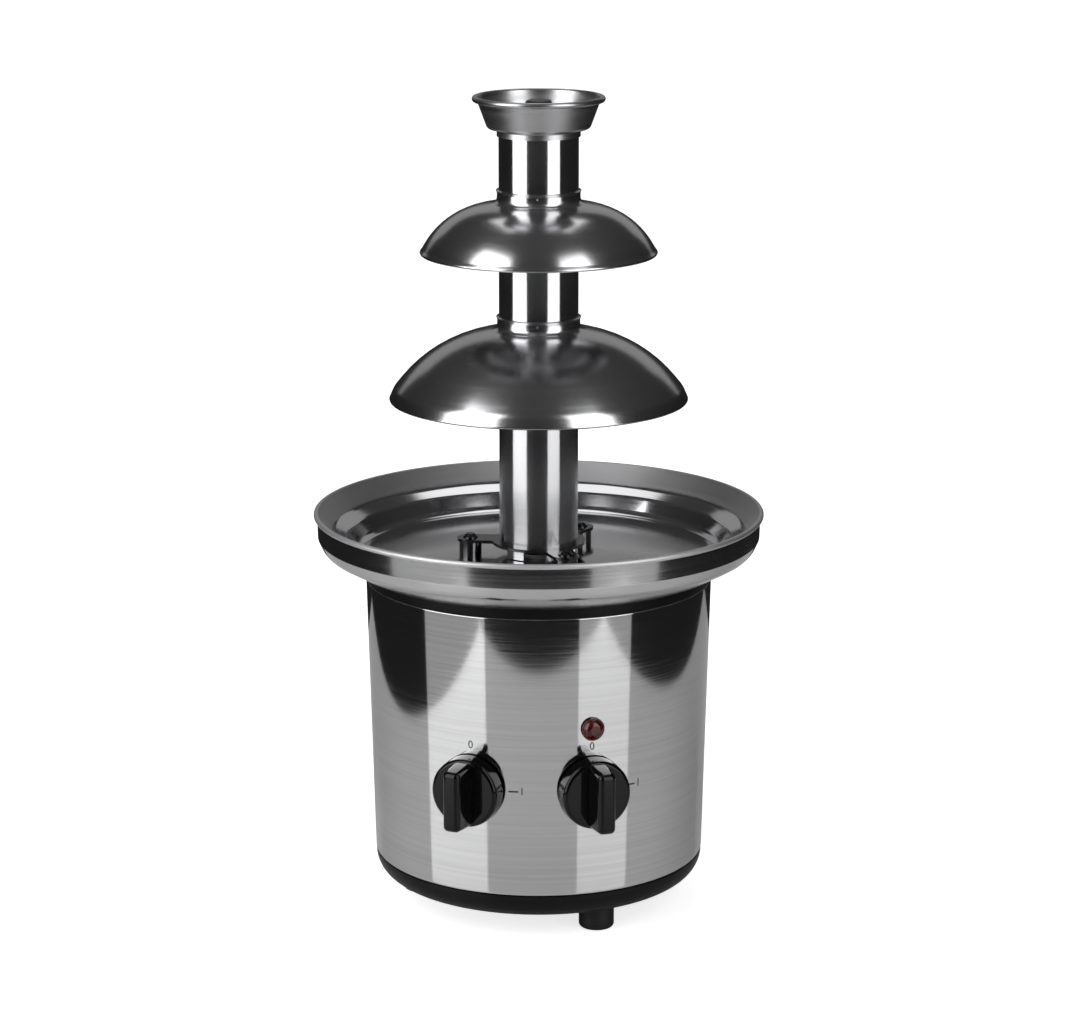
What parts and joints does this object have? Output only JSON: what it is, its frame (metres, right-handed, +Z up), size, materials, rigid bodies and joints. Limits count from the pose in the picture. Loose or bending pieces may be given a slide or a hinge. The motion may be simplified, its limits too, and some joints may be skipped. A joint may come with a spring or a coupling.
{
  "type": "chocolate fountain",
  "caption": "Table-top chocolate fountain: steel housing with rotary switches, heated bowl, and a lift-off tower of tube, domed canopies and crown around a rotating auger.",
  "frame": {"origin": "on the tower's axis, at the height of the table under the feet", "axes": "+Z up along the tower's axis, -Y towards the front with the knobs, +X to the right of someone facing the knobs"},
  "size_m": [0.2176, 0.2176, 0.3951],
  "materials": {
    "polished_steel": "mirror-polished stainless steel",
    "satin_steel": "spun satin stainless steel",
    "brushed_steel": "circumferentially brushed stainless steel",
    "plated_steel": "zinc-plated steel",
    "black_plastic": "moulded, fine texture",
    "gloss_black_plastic": "glossy moulded",
    "black_rubber": "matt",
    "red_rubber": "silicone",
    "dark_plastic": "food-grade moulded",
    "brass": "turned",
    "cast_aluminium": "as cast",
    "ivory_plastic": "moulded",
    "red_lens": "clear red moulded lens"
  },
  "bodies": {
    "housing": {"bowl": "satin_steel", "bowl_skirt": "satin_steel", "locating_pegs": "polished_steel", "insulating_ring": "black_plastic", "body_shell": "brushed_steel", "base_plate": "black_plastic", "foot_inserts": "brass", "shaft_hub": "plated_steel", "hub_gasket": "red_rubber", "hub_nut": "brass", "bearing_bush": "brass", "lip_seal": "black_rubber", "heater_plate": "cast_aluminium", "heating_element": "plated_steel", "thermostat": "black_plastic", "thermal_fuse": "ivory_plastic", "standoffs": "plated_steel", "motor_plate": "plated_steel", "pillars": "plated_steel", "pillar_screws": "plated_steel", "gearbox": "black_plastic", "motor": "plated_steel", "motor_screws": "plated_steel", "motor_switch": "black_plastic", "heat_switch": "black_plastic", "switch_nuts": "plated_steel", "lamp_lens": "red_lens", "lamp_holder": "ivory_plastic", "terminal_block": "ivory_plastic", "inlet_bush": "gloss_black_plastic"},
    "tower": {"tower_tube": "polished_steel", "tower_foot": "polished_steel", "lower_canopy": "satin_steel", "upper_canopy": "satin_steel", "crown": "satin_steel"},
    "drive": {"drive_shaft": "plated_steel", "drive_coupling": "plated_steel", "coupling_pin": "plated_steel"},
    "auger": {"auger": "dark_plastic"},
    "motor_control": {"motor_knob": "gloss_black_plastic", "motor_spindle": "plated_steel"},
    "heat_control": {"heat_knob": "gloss_black_plastic", "heat_spindle": "plated_steel"},
    "right_front_foot": {"foot_1": "black_rubber"},
    "right_rear_foot": {"foot_2": "black_rubber"},
    "left_foot": {"foot_3": "black_rubber"}
  },
  "joints": [
    {"name": "tower_lift", "type": "slide", "parent": "housing", "child": "tower", "axis": [0, 0, 1], "range_m": [0, 0.23]},
    {"name": "drive_spin", "type": "hinge", "parent": "housing", "child": "drive", "pos_m": [0, 0, 0.17], "axis": [0, 0, 1], "continuous": true},
    {"name": "auger_lift", "type": "slide", "parent": "drive", "child": "auger", "axis": [0, 0, 1], "range_m": [0, 0.23]},
    {"name": "motor_knob_turn", "type": "hinge", "parent": "housing", "child": "motor_control", "pos_m": [0, 0, 0.0773], "axis": [0.3469, 0.9379, 0], "range_deg": [0, 90]},
    {"name": "heat_knob_turn", "type": "hinge", "parent": "housing", "child": "heat_control", "pos_m": [0, 0, 0.0773], "axis": [-0.3469, 0.9379, 0], "range_deg": [0, 90]},
    {"name": "right_front_foot_screw", "type": "slide", "parent": "housing", "child": "right_front_foot", "axis": [0, 0, -1], "range_m": [0, 0.006]},
    {"name": "right_rear_foot_screw", "type": "slide", "parent": "housing", "child": "right_rear_foot", "axis": [0, 0, -1], "range_m": [0, 0.006]},
    {"name": "left_foot_screw", "type": "slide", "parent": "housing", "child": "left_foot", "axis": [0, 0, -1], "range_m": [0, 0.006]}
  ]
}
